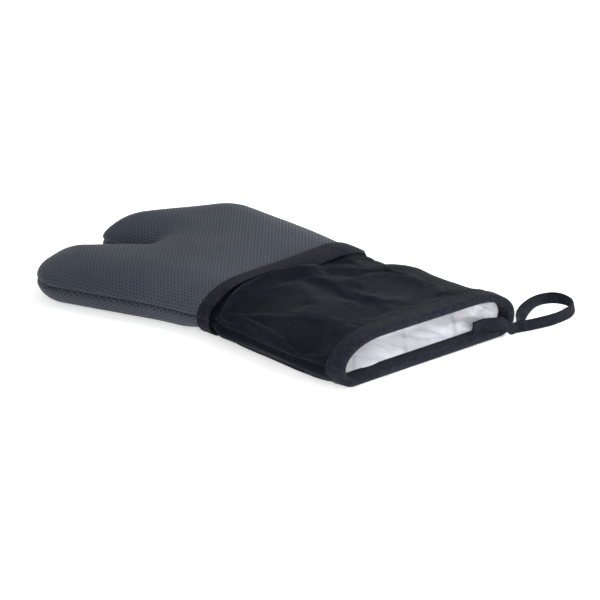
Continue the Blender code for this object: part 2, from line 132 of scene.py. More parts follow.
def edgeDistance(places):
    # shortest distance inwards from the sewn edge, negative outside, and the unit direction inwards
    edge = edgeLine(0)
    start, run = edge[:-1], np.diff(edge, axis=0)
    square = (run * run).sum(-1)
    flat = places.reshape(-1, 2)
    distance, inwards = np.empty(len(flat)), np.empty((len(flat), 2))
    chunk = 4000  # points at a time, to spare memory
    for first in range(0, len(flat), chunk):
        part = flat[first:first + chunk]
        away = part[:, None] - start
        share = np.clip((away * run).sum(-1) / square, 0, 1)
        offset = away - share[..., None] * run
        length = np.linalg.norm(offset, axis=-1)
        best = length.argmin(1)
        rows = np.arange(len(part))
        offset, length, along = offset[rows, best], length[rows, best], run[best]
        normal = np.column_stack([along[:, 1], -along[:, 0]]) / np.linalg.norm(along, axis=1)[:, None]
        inside = (offset * normal).sum(1) >= 0
        sign = np.where(inside, 1.0, -1.0)
        distance[first:first + chunk] = sign * length
        steady = length > 0.05 * mm  # on the edge itself the direction is the edge's own normal
        direct = sign[:, None] * offset / np.maximum(length, 1e-9)[:, None]
        inwards[first:first + chunk] = np.where(steady[:, None], direct, normal)
    return distance.reshape(places.shape[:-1]), inwards.reshape(places.shape)


def smooth(value):
    # 3 v squared less 2 v cubed, level below 0 and above 1
    value = np.clip(value, 0, 1)
    return value * value * (3 - 2 * value)


def hump(value, centre, width):
    # bell curve: e to the minus square of the distance from the centre in widths
    return np.exp(-(((value - centre) / width) ** 2))


def spacing(spans):
    # shares from 0 to 1 that lie closer together at both ends: half of one minus a cosine
    return (1 - np.cos(np.linspace(0, math.pi, spans + 1))) / 2


def profile(places, inset, side):
    # full rise and the reach over which it is gained: the top grows smoothly from the joint to the mouth,
    # and the underside lifts off where the cuff begins
    x = places[..., 0]
    m = mitt
    if side > 0:
        share = smooth((x - jointX) / (m["mouthX"] - jointX))
        full = m["crown"] + (m["mouthRise"] - m["crown"]) * share
        reach = np.full_like(x, m["crownReach"])
    else:
        full = m["seam"] - m["cuffLift"] * smooth((x - jointX + m["liftStart"]) / m["liftRun"])
        reach = np.full_like(x, m["soleReach"])
    return full - inset, reach - inset


def crossings(point, along, path):
    # where a straight line crosses a path, in order along the line, with positions along the path
    offset = path - point
    beside = offset[:, 0] * along[1] - offset[:, 1] * along[0]
    steps = np.nonzero(beside[:-1] * beside[1:] < 0)[0]
    share = beside[steps] / (beside[steps] - beside[steps + 1])
    places = path[steps] + share[:, None] * (path[steps + 1] - path[steps])
    order = np.argsort((places - point) @ along)
    return places[order], (steps + share)[order]


def alongPath(path, positions):
    # points at fractional positions along a path, by straight interpolation
    index = np.arange(len(path))
    return np.column_stack([np.interp(positions, index, path[:, i]) for i in (0, 1)])


def between(start, end, shares):
    # start plus each share of the way to the end
    return start + np.multiply.outer(shares, end - start)


def heading(angle):
    # unit vector at an angle from +X
    return np.array([math.cos(angle), math.sin(angle)])


def unit(vectors):
    # each vector over its length
    return vectors / np.linalg.norm(vectors, axis=-1, keepdims=True)


def lengthAlong(line):
    # running length: the sum of the steps so far
    return np.concatenate([[0], np.cumsum(np.linalg.norm(np.diff(line, axis=0), axis=1))])


def acrossAt(x):
    # a line straight across the mitt
    return np.array([x, 0]), np.array([0.0, 1.0])


def foldLine(lobe, distance):
    # a line parallel to the lobe's fold, distance ahead of it, running out to the lobe's outer side
    angle = mitt[lobe + "Angle"]
    outward = angle + (math.pi / 2 if lobe == "fingers" else -math.pi / 2)
    return np.array(mitt["foldStart"]) + distance * heading(angle), heading(outward)


# grids on the plan: rows run lengthwise, columns from the fingers' side to the thumb's side
columnSpans = (58, 8, 58)  # fingers' fold, bottom of the notch, thumb's fold
sideSteps = 800  # points on a side of the hand while its rows are spaced


def handFront(path):
    # front edge of the hand: the fingers' bend line, round the notch, the thumb's bend line
    near, nearAt = crossings(*foldLine("fingers", mitt["fingersBlend"][0]), path)
    far, farAt = crossings(*foldLine("thumb", mitt["thumbBlend"][0]), path)
    notch = alongPath(path, np.linspace(nearAt[-2], farAt[-2], columnSpans[1] + 1))
    front = np.concatenate([
        between(near[-1], notch[0], spacing(columnSpans[0]))[:-1],
        notch,
        between(notch[-1], far[-1], spacing(columnSpans[2]))[1:],
    ])
    return front, nearAt[-1], farAt[-1]


def handGrid(inset, rows):
    # a Coons patch: blend of the two ends plus blend of the two sides, less blend of the corners
    path = edgeLine(inset)
    wrist, wristAt = crossings(*acrossAt(jointX), path)
    front, nearAt, farAt = handFront(path)
    u = spacing(sum(columnSpans))
    back = between(wrist[0], wrist[-1], u)
    shares = np.sin(np.linspace(0, math.pi / 2, rows + 1))
    sides = []
    for first, last in ((wristAt[0], nearAt), (wristAt[-1], farAt)):
        run = alongPath(path, np.linspace(first, last, sideSteps))
        length = lengthAlong(run)
        sides.append(alongPath(run, np.interp(shares * length[-1], length, np.arange(sideSteps))))
    near, far = (side[:, None] for side in sides)
    u, t = u[None, :, None], shares[:, None, None]
    ruled = (1 - t) * back[None] + t * front[None] + (1 - u) * near + u * far
    corners = (1 - t) * ((1 - u) * back[0] + u * back[-1]) + t * ((1 - u) * front[0] + u * front[-1])
    return ruled - corners


def lobeGrid(lobe, inset, rows):
    # chords parallel to the lobe's fold, from the bend line to the tip and closer together there
    path = edgeLine(inset, arcSteps=40)
    point, across = foldLine(lobe, 0)
    ahead = heading(mitt[lobe + "Angle"])
    base = mitt[lobe + "Blend"][0]
    ownSide = (path - point) @ across > -60 * mm
    tip = ((path[ownSide] - point) @ ahead).max() - 0.02 * mm  # a hair short, to leave a last chord
    spans = columnSpans[0] if lobe == "fingers" else columnSpans[2]
    grid = []
    for share in np.sin(np.linspace(0, math.pi / 2, rows + 1)):
        ends, _ = crossings(*foldLine(lobe, base + share * (tip - base)), path)
        inner, outer = ends[-2], ends[-1]
        pair = (outer, inner) if lobe == "fingers" else (inner, outer)
        grid.append(between(*pair, spacing(spans)))
    return np.array(grid)


def mouthLine():
    # middle of the mouth and its direction, which the skew turns away from +Y
    run = np.array([mitt["skew"], 2 * mitt["mouthHalf"]])
    return np.array([mitt["mouthX"], 0.0]), unit(run)


def cuffGrid(inset, rows, back, beyond, spans=124):
    # straight chords from the joint line to the mouth; back and beyond move the two ends
    path = edgeLine(inset)
    wrist, _ = crossings(*acrossAt(jointX + back), path)
    middle, run = mouthLine()
    mouth, _ = crossings(middle + [beyond, 0], run, path)
    grid = []
    for share in np.linspace(0, 1, rows + 1):
        ends = []
        for i in (0, -1):
            x = wrist[i][0] + share * (mouth[i][0] - wrist[i][0])
            ends.append(crossings(*acrossAt(x), path)[0][i])
        grid.append(between(*ends, spacing(spans)))
    return np.array(grid)



def surface(plan, inset, side, relief=None, seamEdges=(True, True, False)):
    # the pillow: a quarter of an ellipse inwards from the edge, then level, with relief as an outward
    # shift. seamEdges says which of the first column, last column and last row lie on the seam.
    distance, inwards = edgeDistance(plan)
    full, reach = profile(plan, inset, side)
    depth = np.clip((distance - inset) / reach, 0, 1)
    rise = full * np.sqrt(np.clip(1 - (1 - depth) ** 2, 0, 1))
    onSeam = np.zeros(plan.shape[:2], bool)
    onSeam[:, 0] |= seamEdges[0]
    onSeam[:, -1] |= seamEdges[1]
    onSeam[-1] |= seamEdges[2]
    onSeam |= distance - inset < 0.004 * mm
    rise[onSeam] = 0
    steep = np.sqrt(np.clip(1 - depth, 0, 1))  # 1 where the wall stands upright, 0 on the level
    across = -inwards * steep[..., None]
    up = np.where(onSeam, 0, side * np.sqrt(1 - steep ** 2))
    normal = np.concatenate([across, up[..., None]], axis=-1)
    points = np.concatenate([plan, (mitt["seam"] + side * rise)[..., None]], axis=-1)
    if relief is not None:
        points = points + normal * relief(plan, rise, side)[..., None]
    # cloth coordinates: the plan, spread outwards by the extra length of the wall
    turn = np.arcsin(np.clip(1 - depth, 0, 1))
    fine = np.linspace(0, math.pi / 2, 60)
    speed = np.sqrt((np.cos(fine) * np.median(reach)) ** 2 + (np.sin(fine) * np.median(full)) ** 2)
    arc = np.concatenate([[0], np.cumsum((speed[1:] + speed[:-1]) / 2 * (fine[1] - fine[0]))])
    extra = np.interp(turn, fine, arc) - np.sin(turn) * np.median(reach)
    cloth = plan - inwards * np.maximum(extra, 0)[..., None]
    return points, cloth


def gridQuads(rows, columns, start, flip=False):
    # four neighbours of a grid make a face
    index = start + np.arange(rows * columns).reshape(rows, columns)
    a, b, c, d = index[:-1, :-1], index[:-1, 1:], index[1:, 1:], index[1:, :-1]
    order = (a, d, c, b) if flip else (a, b, c, d)
    return np.stack([part.ravel() for part in order], axis=1)


def bridge(first, second, flip=False):
    # faces between two equally long runs of vertices
    a, b, c, d = first[:-1], first[1:], second[1:], second[:-1]
    order = (a, d, c, b) if flip else (a, b, c, d)
    return np.stack(order, axis=1)


def addObject(name, data):
    item = bpy.data.objects.new(name, data)
    bpy.context.scene.collection.objects.link(item)
    return item


def makeMesh(name, points, quads, material, cloth=None, weld=True):
    # equal points become one vertex, collapsed faces are dropped, cloth coordinates become a UV map
    keep = index = np.arange(len(points))
    if weld:
        rounded = np.round(points / (0.002 * mm)).astype(np.int64)
        _, keep, index = np.unique(rounded, axis=0, return_index=True, return_inverse=True)
        index = index.ravel()
    quads = np.asarray(quads)
    corners = index[quads]
    faces, sources = [], []
    for face, source in zip(corners.tolist(), quads.tolist()):
        kept, origins = [], []
        for vertex, origin in zip(face, source):
            if vertex not in kept:
                kept.append(vertex)
                origins.append(origin)
        if len(kept) > 2:
            faces.append(kept)
            sources.extend(origins)
    mesh = bpy.data.meshes.new(name)
    mesh.from_pydata(points[keep].tolist(), [], faces)
    if cloth is not None:
        layer = mesh.uv_layers.new(name="cloth")
        layer.data.foreach_set("uv", cloth[sources].astype(np.float32).ravel())
    mesh.materials.append(material)
    mesh.polygons.foreach_set("use_smooth", [True] * len(mesh.polygons))
    mesh.update()
    return addObject(name, mesh)


def finishPiece(item, body, nodes):
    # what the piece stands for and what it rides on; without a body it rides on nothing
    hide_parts(*nodes)
    if body:
        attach(item, body)
    return item


def vectorsOf(items, field):
    # a field of three numbers of every item, one row each
    values = np.empty(len(items) * 3, np.float32)
    items.foreach_get(field, values)
    return values.reshape(-1, 3).astype(float)


def shareNormals(items):
    # pieces that continue each other get the same normals where their edges meet
    points = [vectorsOf(item.data.vertices, "co") for item in items]
    normals = [vectorsOf(item.data.vertex_normals, "vector") for item in items]
    rounded = np.round(np.concatenate(points) / (0.01 * mm)).astype(np.int64)
    _, index = np.unique(rounded, axis=0, return_inverse=True)
    index = index.ravel()
    total = np.zeros((index.max() + 1, 3))
    np.add.at(total, index, np.concatenate(normals))
    shared = total[index]
    shared /= np.maximum(np.linalg.norm(shared, axis=1), 1e-9)[:, None]
    start = 0
    for item in items:
        count = len(item.data.vertices)
        item.data.normals_split_custom_set_from_vertices(shared[start:start + count].tolist())
        start += count


def wave(places, seed, length):
    # smooth wandering noise between -1 and 1 made of a few sine waves
    rng = np.random.default_rng(seed)
    total = np.zeros(places.shape[:-1])
    for _ in range(6):
        angle, phase = rng.uniform(0, 2 * math.pi), rng.uniform(0, 2 * math.pi)
        scale = rng.uniform(0.6, 1.5)
        total += np.sin((places @ heading(angle)) * 2 * math.pi / (length * scale) + phase)
    return total / 3


shell = {
    "thickness": 2.2 * mm,
    "bulge": 1.2 * mm,  # cloth stands out just above and below the seam
    "bulgeRise": 3.6 * mm,
    "bulgeEnd": 0.6,  # share of the seam's height above which the bulge dies away
    "seamPull": 2.0 * mm,
    "seamWidth": 1.2 * mm,
    "tightAtBand": 1.2 * mm,
    "tightBefore": 4 * mm,  # from the joint to the tightest place
    "tightWidth": 9 * mm,
    "unevenness": 0.5 * mm,
    "unevenLength": 70 * mm,
}


def shellRelief(plan, rise, side):
    # rise times e to the minus rise, less bell curves at the seam and the band, plus slow waves on top
    s = shell
    grow = rise / s["bulgeRise"]
    shift = s["bulge"] * grow * np.exp(1 - grow) - s["seamPull"] * np.exp(-((rise / s["seamWidth"]) ** 2))
    end = mitt["seam"] * s["bulgeEnd"]
    shift = np.where(rise < end, shift, shift * np.exp(-(rise - end) / (4 * mm)))
    tight = hump(plan[..., 0], jointX - s["tightBefore"], s["tightWidth"]) * smooth(rise / (4 * mm))
    shift -= s["tightAtBand"] * tight
    if side > 0:
        shift += s["unevenness"] * wave(plan, 3, s["unevenLength"]) * smooth(rise / (10 * mm))
    return shift


def doubleWall(name, layers, openRows, turned, material):
    # an outer and an inner skin, each a top and an underside, joined by a rim along each open row;
    # turned says that the rows run towards the mouth
    parts, cloths, quads, rims, start = [], [], [], {}, 0
    for layer, skins in enumerate(layers):
        for side, (points, cloth) in zip((1, -1), skins):
            rows, columns = points.shape[:2]
            quads.append(gridQuads(rows, columns, start, ((side > 0) == (layer == 0)) != turned))
            index = start + np.arange(rows * columns).reshape(rows, columns)
            rims[layer, side] = index
            parts.append(points.reshape(-1, 3))
            cloths.append(cloth.reshape(-1, 2) * [1, side])
            start += rows * columns
    for side in (1, -1):
        for row in openRows:
            flip = ((side > 0) == (row != 0)) != turned
            quads.append(bridge(rims[0, side][row], rims[1, side][row], flip))
    return makeMesh(name, np.concatenate(parts), np.concatenate(quads), material, np.concatenate(cloths))


def bag(region, rows, inset, thickness, relief, name, material):
    # pillow skin of one part of the hand, open at the wrist and where the lobes join the hand
    isHand = region == "hand"
    layers = []
    for depth, shape in ((inset, relief), (inset + thickness, None)):
        plan = handGrid(depth, rows) if isHand else lobeGrid(region, depth, rows)
        layers.append([surface(plan, depth, side, shape, (True, True, not isHand)) for side in (1, -1)])
    return doubleWall(name, layers, (0, -1) if isHand else (0,), False, material)


def placeBag(item, region, kind):
    # the hand's part rides on the hand; a lobe's part rides on nothing and has its transform baked in, and
    # its two fold lines' points are found but not used
    nodes = [f"{region}_{kind}_upper", f"{region}_{kind}_lower"]
    if region == "hand":
        return finishPiece(item, "hand", nodes)
    finishPiece(item, None, nodes)
    start, end = (foldLine(region, distance)[0] for distance in mitt[region + "Blend"])
    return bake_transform(item)


# each layer of the hand: node's word, inset, thickness, relief, piece's word, rows in hand and in lobes
handLayers = (
    ("shell", 0, shell["thickness"], shellRelief, "skin", 96, 78),
    ("wadding", 2.5 * mm, 3.4 * mm, None, "padding", 40, 34),
    ("lining", 6.2 * mm, 1.2 * mm, None, "lining_bag", 60, 40),
)


def buildHand():
    # shell, wadding and lining, each one bag cut where it bends
    for kind, inset, thickness, relief, word, handRows, lobeRows in handLayers:
        items = {}
        for region in ("hand", "fingers", "thumb"):
            rows = handRows if region == "hand" else lobeRows
            items[region] = bag(region, rows, inset, thickness, relief, f"{region}_{word}", materials[kind])
        shareNormals(list(items.values()))
        for region, item in items.items():
            placeBag(item, region, kind)
        print("hand layer done:", kind)


cuff = {
    "tuck": 2.6 * mm,  # the cuff goes in under the band
    "tuckAt": 7 * mm,
    "tuckWidth": 5 * mm,
    "puff": 3.6 * mm,  # the first ridge behind the band
    "puffAfter": 4 * mm,
    "puffWidth": 11 * mm,
    "puffLoss": 0.55,  # share that the puff loses where the ridge is far from the band
    "seamPull": 2.2 * mm,
    "seamWidth": 1.6 * mm,
    "unevenness": 1.0 * mm,
    "unevenLength": 60 * mm,
    "pleat": 0.9 * mm,  # small pleats where the band gathers the cuff at its side seams
    "pleatPitch": 7.5 * mm,
    "pleatAt": 15 * mm,
    "pleatWidth": 9 * mm,
    "dip": 4.2 * mm,  # the top lies low between the band and the first ridge
    "dipEdge": 8 * mm,
    "belly": 2.2 * mm,  # the underside's wall stands out below the seam
    "bellyAt": 6 * mm,
    "bellyWidth": 5 * mm,
    "leastHeight": 0.8 * mm,  # of the lowest skin above the floor
}
# y of the first ridge and its distance from the joint, in mm
cuffRidge = ((-101, 30), (-58, 13), (-25, 14), (12, 30), (47, 58), (90, 66))

# soft folds on top of the cuff: points along each fold, its width and its height
cuffFolds = (
    (((92, -101), (75, -58), (76, -25), (92, 12), (120, 47)), 9, 2.0),
    (((84, -60), (99, -22), (125, -9), (168, -5)), 8, 1.2),
    (((159, -84), (169, -43), (176, -15)), 9, 0.9),
    (((70, 20), (95, 45), (140, 62), (185, 70)), 12, 1.3),
    (((110, -80), (135, -50), (165, -35), (200, -28)), 8, -0.9),
)


def distanceToLine(plan, points):
    # shortest distance to a line of points, and the share of the line at which it is reached
    line = np.array(points) * mm
    best = np.full(plan.shape[:-1], 1.0)
    along = np.zeros(plan.shape[:-1])
    for i, (a, b) in enumerate(zip(line[:-1], line[1:])):
        share = np.clip((plan - a) @ (b - a) / ((b - a) @ (b - a)), 0, 1)
        length = np.linalg.norm(plan - a - share[..., None] * (b - a), axis=-1)
        along = np.where(length < best, (i + share) / (len(line) - 1), along)
        best = np.minimum(best, length)
    return best, along


def valley(plan):
    # how far the top lies low: full from the band to the ridge, whose distance varies across the mitt
    back = plan[..., 0] - jointX
    ridge = np.interp(plan[..., 1], *np.array(cuffRidge).T * mm)
    low = smooth((back + 3 * mm) / (9 * mm)) * (1 - smooth((back - ridge + 9 * mm) / cuff["dipEdge"]))
    return ridge, cuff["dip"] * low


def cuffRelief(plan, rise, side):
    # bell curves for tuck, pleats, puff, folds and belly, plus slow waves; free is 0 at the band and at
    # the mouth, where the cloth is held
    c = cuff
    back = plan[..., 0] - jointX
    ahead = mitt["mouthX"] - plan[..., 0]
    free = smooth((back - 8 * mm) / (14 * mm)) * smooth((ahead - 8 * mm) / (26 * mm))
    fingersSide = 1 - smooth((plan[..., 1] + 40 * mm) / (40 * mm)) * (side > 0)
    shift = -c["tuck"] * hump(back, c["tuckAt"], c["tuckWidth"]) * fingersSide
    around = np.cos(2 * math.pi * rise / c["pleatPitch"])
    pleats = c["pleat"] * hump(back, c["pleatAt"], c["pleatWidth"]) * around
    shift = shift - pleats * (1 - smooth((rise - 12 * mm) / (6 * mm)))
    if side > 0:
        ridge, low = valley(plan)
        fullness = 1 - c["puffLoss"] * smooth((ridge - 20 * mm) / (30 * mm))
        puff = c["puff"] * hump(back, ridge + c["puffAfter"], c["puffWidth"])
        shift = shift + puff * fullness * smooth(rise / (8 * mm))
        shift = shift - low * smooth(rise / (8 * mm))
        for points, width, tall in cuffFolds:
            away, along = distanceToLine(plan, points)
            taper = np.sin(math.pi * np.clip(along, 0.04, 0.96))
            shift = shift + tall * mm * hump(away, 0, width * mm) * taper * free
    else:
        shift = shift + c["belly"] * hump(rise, c["bellyAt"], c["bellyWidth"]) * free
    uneven = c["unevenness"] * wave(plan + [0, side * 0.3], 11, c["unevenLength"])
    shift = shift + uneven * free * smooth(rise / (6 * mm))
    return shift - c["seamPull"] * np.exp(-((rise / c["seamWidth"]) ** 2)) * smooth(ahead / (14 * mm))


settling = {
    "rows": 56,
    "columns": 124,
    "frames": 20,
    "most": 3.6 * mm,  # no point moves further than this
    "held": (0.08, 0.9),  # shares of the length before and after which the cloth is held
    "fades": (0.16, 0.18),  # shares over which the movement fades in and out
    "calm": 0.1,  # share of the movement that is left at the seam
    "calmReach": 7 * mm,
}
clothSettings = {
    "quality": 6,
    "mass": 0.25,
    "tension_stiffness": 12,
    "compression_stiffness": 12,
    "shear_stiffness": 4,
    "bending_stiffness": 0.25,
    "shrink_min": -0.045,  # below zero: cut too large
    "use_pressure": True,
    "uniform_pressure_force": 1.2,
    "vertex_group_mass": "held",
}


def calmAtSeam(points):
    # the two sheets hold each other still where they are sewn together
    calm = settling["calm"]
    return calm + (1 - calm) * smooth(np.abs(points[..., 2:] - mitt["seam"]) / settling["calmReach"])


def settleCuff():
    # cloth simulation: held at both ends and cut too large, the cuff's outer wall buckles into wrinkles.
    # Gives the movement of each grid point, for the top and for the underside.
    columns = settling["columns"]
    plan = cuffGrid(0, settling["rows"], 0, 0, columns)
    over, _ = surface(plan, 0, 1, cuffRelief)
    under, _ = surface(plan, 0, -1, cuffRelief)
    ring = np.concatenate([over, under[:, -2:0:-1]], axis=1)
    rows, around = ring.shape[:2]
    closed = np.concatenate([ring, ring[:, :1]], axis=1).reshape(-1, 3)
    quads = gridQuads(rows, around + 1, 0)
    item = makeMesh("settling_cuff", closed, quads, materials["cotton"], weld=False)
    flat = vectorsOf(item.data.vertices, "co")
    share = np.repeat(np.linspace(0, 1, rows), around + 1)
    pins = item.vertex_groups.new(name="held")
    first, last = settling["held"]
    held = np.nonzero((share < first) | (share > last))[0]
    pins.add(held.tolist(), 1.0, "REPLACE")
    cloth = item.modifiers.new("cloth", "CLOTH")
    for name, value in clothSettings.items():
        setattr(cloth.settings, name, value)
    cloth.settings.effector_weights.gravity = 0
    cloth.point_cache.frame_start, cloth.point_cache.frame_end = 1, settling["frames"]
    scene = bpy.context.scene
    for step in range(1, settling["frames"] + 1):
        scene.frame_set(step)
    shape = item.evaluated_get(bpy.context.evaluated_depsgraph_get()).to_mesh()
    moved = vectorsOf(shape.vertices, "co") - flat
    scene.frame_set(1)
    bpy.data.objects.remove(item)
    # movements are held under the most by a hyperbolic tangent, then faded at both ends
    length = np.linalg.norm(moved, axis=1)
    most = settling["most"]
    moved *= (most * np.tanh(length / most) / np.maximum(length, 1e-9))[:, None]
    moved = moved.reshape(rows, around + 1, 3)
    fadeIn, fadeOut = settling["fades"]
    share = np.linspace(0, 1, rows)
    moved *= (smooth(share / fadeIn) * smooth((1 - share) / fadeOut))[:, None, None]
    top = moved[:, :columns + 1]
    last = moved[:, columns:columns + 1]
    bottom = np.concatenate([moved[:, :1], moved[:, :columns:-1][:, 1:], last], axis=1)
    print("cuff settled: furthest point moved", round(float(length.max()) / mm, 1), "mm")
    return {1: top * calmAtSeam(over), -1: bottom * calmAtSeam(under)}


def resample(field, rows, columns, back=0, beyond=0):
    # straight interpolation of a grid of vectors both ways; back and beyond move its two ends
    length = mitt["mouthX"] - jointX
    old = np.linspace(0, 1, field.shape[0])
    new = np.clip(np.linspace(back / length, 1 + beyond / length, rows), 0, 1)
    high = np.clip(np.searchsorted(old, new, side="right"), 1, len(old) - 1)
    share = ((new - old[high - 1]) / (old[high] - old[high - 1]))[:, None, None]
    tall = field[high - 1] * (1 - share) + field[high] * share
    place = np.linspace(0, field.shape[1] - 1, columns)
    low = np.minimum(place.astype(int), field.shape[1] - 2)
    share = (place - low)[None, :, None]
    return tall[:, low] * (1 - share) + tall[:, low + 1] * share


def sleeve(name, inset, thickness, rows, back, beyond, relief, material, settled):
    # a tube from the joint to the mouth; relief shapes its inner skin, and both skins have settled
    layers = []
    for depth, shape in ((inset, cuffRelief), (inset + thickness, relief)):
        plan = cuffGrid(depth, rows, back, beyond)
        skins = []
        for side in (1, -1):
            points, cloth = surface(plan, depth, side, shape)
            points += resample(settled[side], *plan.shape[:2], back, beyond)
            points[..., 2] = np.maximum(points[..., 2], depth + cuff["leastHeight"])
            skins.append((points, cloth))
        layers.append(skins)
    return doubleWall(name, layers, (0, -1), True, material)


quilt = {
    "angle": math.radians(44.4),
    "pitch": 39.5 * mm,
    "start": 16.5 * mm,
    "depth": 2.4 * mm,
    "crease": 0.15 * mm,
}


def liningRelief(plan, rise, side):
    # quilting on the bias: the cloth puffs up between sewn lines as a low power of the smaller of two sines
    along = np.abs(np.sin(math.pi * (plan @ heading(quilt["angle"]) - quilt["start"]) / quilt["pitch"]))
    across = np.abs(np.sin(math.pi * (plan @ heading(quilt["angle"] + math.pi / 2)) / quilt["pitch"]))
    puff = np.minimum(along, across) ** 0.35
    away = smooth((mitt["mouthX"] - plan[..., 0] - 10 * mm) / (10 * mm))
    creases = quilt["crease"] * wave(plan, 5, 26 * mm)
    quilting = (-quilt["depth"] * puff * smooth(rise / (3 * mm)) + creases) * away
    return quilting + cuffRelief(plan, rise, side)


# each layer of the cuff: piece, kind, inset, thickness, rows, start from the joint, end from the mouth
cuffLayers = (
    ("cuff_sleeve", "cotton", 0, 1.0 * mm, 150, -3 * mm, -0.2 * mm, cuffRelief),
    ("cuff_padding", "wadding", 1.9 * mm, 0.7 * mm, 90, 0.3 * mm, -1 * mm, cuffRelief),
    ("cuff_lining", "lining", 2.8 * mm, 0.8 * mm, 130, 0.3 * mm, -1 * mm, liningRelief),
)


def buildCuff():
    # three sleeves inside each other, all moved by the same settled cloth
    settled = settleCuff()
    for name, kind, inset, thickness, rows, back, beyond, relief in cuffLayers:
        item = sleeve(name, inset, thickness, rows, back, beyond, relief, materials[kind], settled)
        finishPiece(item, "hand", [f"cuff_{kind}_upper", f"cuff_{kind}_lower"])
    print("cuff done")


tape = {
    "thickness": 0.9 * mm,
    "gap": 0.5 * mm,
    "spans": 150,
    "bandWidth": 12.5 * mm,
    "bandClear": 0.35 * mm,  # the band lies so much nearer the surface than the gap says
    "bandDrawn": 9 * mm,
    "bandSunk": 3.4 * mm,
    "bindingWidth": 11.5 * mm,
    "bindingBack": 0.4 * mm,  # rounding of the binding's rear edges
    "bindingBelly": 0.25 * mm,
    "foldDepth": 0.42,  # how far the fold stands out, for half its height
    "wall": 3.6 * mm,  # cuff cloth, wadding and lining together
}


def ringLine(point, run, inset):
    # closed line of the pillow surface on an upright plane: over the top, back underneath
    ends, _ = crossings(point, run, edgeLine(inset))
    plan = between(ends[0], ends[-1], spacing(tape["spans"]))[None]
    over, _ = surface(plan, inset, 1)
    under, _ = surface(plan, inset, -1)
    return np.concatenate([over[0], under[0][-2:0:-1]])


def ringTape(name, point, run, section, ripple=None):
    # section lists (towards the mouth, inset) round the tape's profile; ripple shifts whole stations
    rows = [ringLine(point + [along, 0], run, inset) for along, inset in section]
    points = np.stack(rows + rows[:1])
    if ripple is not None:
        points = points + ripple(points)
    points = np.concatenate([points, points[:, :1]], axis=1)
    steps = np.linalg.norm(np.diff(points, axis=1), axis=-1)
    length = np.concatenate([np.zeros((len(points), 1)), np.cumsum(steps, axis=1)], axis=1)
    sides = [math.hypot(b[0] - a[0], b[1] - a[1]) for a, b in zip(section, section[1:] + section[:1])]
    wide = np.cumsum([0] + sides)
    cloth = np.stack([length, np.broadcast_to(wide[:, None], length.shape)], axis=-1)
    quads = gridQuads(points.shape[0], points.shape[1], 0, True)
    return makeMesh(name, points.reshape(-1, 3), quads, materials["tape"], cloth.reshape(-1, 2))


def roundedStrip(width, low, high):
    # profile of a folded tape: a strip whose two long edges are half circles
    half = (high - low) / 2
    middle = (high + low) / 2
    turns = np.linspace(0, math.pi, 6)
    right = [(width / 2 - half + half * math.sin(a), middle - half * math.cos(a)) for a in turns]
    left = [(-x, y) for x, y in right[::-1]]
    flat = np.linspace(-width / 2 + half, width / 2 - half, 7)[1:-1]
    return right + [(x, high) for x in flat[::-1]] + left + [(x, low) for x in flat]


def bindingSection():
    # profile of the tape folded round the mouth: a flattened half circle at the rim, an outer side
    # bellied by half a sine, a straight inner side, and the slot for the wall between them
    t, gap = tape["thickness"], tape["gap"]
    wall = tape["wall"] + gap
    outside, inside = -gap - t, -gap
    back = -tape["bindingWidth"]
    rounded = back + tape["bindingBack"]
    middle, half = (outside + wall + t) / 2, (wall + t - outside) / 2
    turns, steps = np.linspace(0, math.pi, 15), np.linspace(rounded, 0, 8)
    fold = [(half * tape["foldDepth"] * math.sin(a), middle - half * math.cos(a)) for a in turns]
    innerFold = [(0.3 * mm, wall), (0.3 * mm, inside)]
    outer = [(x, outside - tape["bindingBelly"] * math.sin(math.pi * k / 7)) for k, x in enumerate(steps)]
    inner = [(x, wall + t) for x in np.linspace(0, rounded, 8)]
    return (
        [(back, (outside + inside) / 2)] + outer[:-1] + fold + inner[1:]
        + [(back, wall + t / 2), (rounded, wall)] + innerFold + [(rounded, inside)]
    )


def bandRipple(points):
    # the band wanders as two sines, and both side seams pull it in; on top its front half is drawn out
    # into the valley, further towards the thumb side
    x, y, z = (points[..., i:i + 1] for i in range(3))
    onTop = smooth((z - mitt["seam"] - 9 * mm) / (9 * mm))
    front = np.clip((x - jointX) / (tape["bandWidth"] / 2), 0, 1) * onTop
    ridge, _ = valley(points[..., :2])
    drawn = tape["bandDrawn"] * smooth((ridge - 14 * mm) / (30 * mm))[..., None]
    shift = 0.9 * mm * np.sin(y / (38 * mm)) + 0.4 * mm * np.sin(y / (13 * mm) + 1)
    atSide = smooth((np.abs(y) - 60 * mm) / (10 * mm))
    pull = -1.3 * mm * np.sign(y) * hump(z, mitt["seam"], 1.3 * mm) * atSide
    sunk = tape["bandSunk"] * smooth((ridge - 14 * mm) / (20 * mm))[..., None]
    return np.concatenate([shift + drawn * front, pull, -sunk * front ** 2], axis=-1)


def buildTapes():
    # the wrist band over the joint and the binding round the mouth
    t, gap = tape["thickness"], tape["gap"]
    section = roundedStrip(tape["bandWidth"], -gap - t - tape["bandClear"], -tape["bandClear"])
    band = ringTape("wrist_tape", *acrossAt(jointX), section, bandRipple)
    finishPiece(band, "hand", ["wrist_band"])
    middle, run = mouthLine()
    binding = ringTape("mouth_tape", middle, run, bindingSection())
    finishPiece(binding, "hand", ["mouth_binding"])
    print("tapes done")


stitch = {
    "length": 2.7 * mm,
    "pitch": 3.6 * mm,
    "width": 0.55 * mm,
    "dive": 0.35 * mm,
    "fromEdge": 2.2 * mm,  # of the binding
    "seamInset": 0.7 * mm,
}


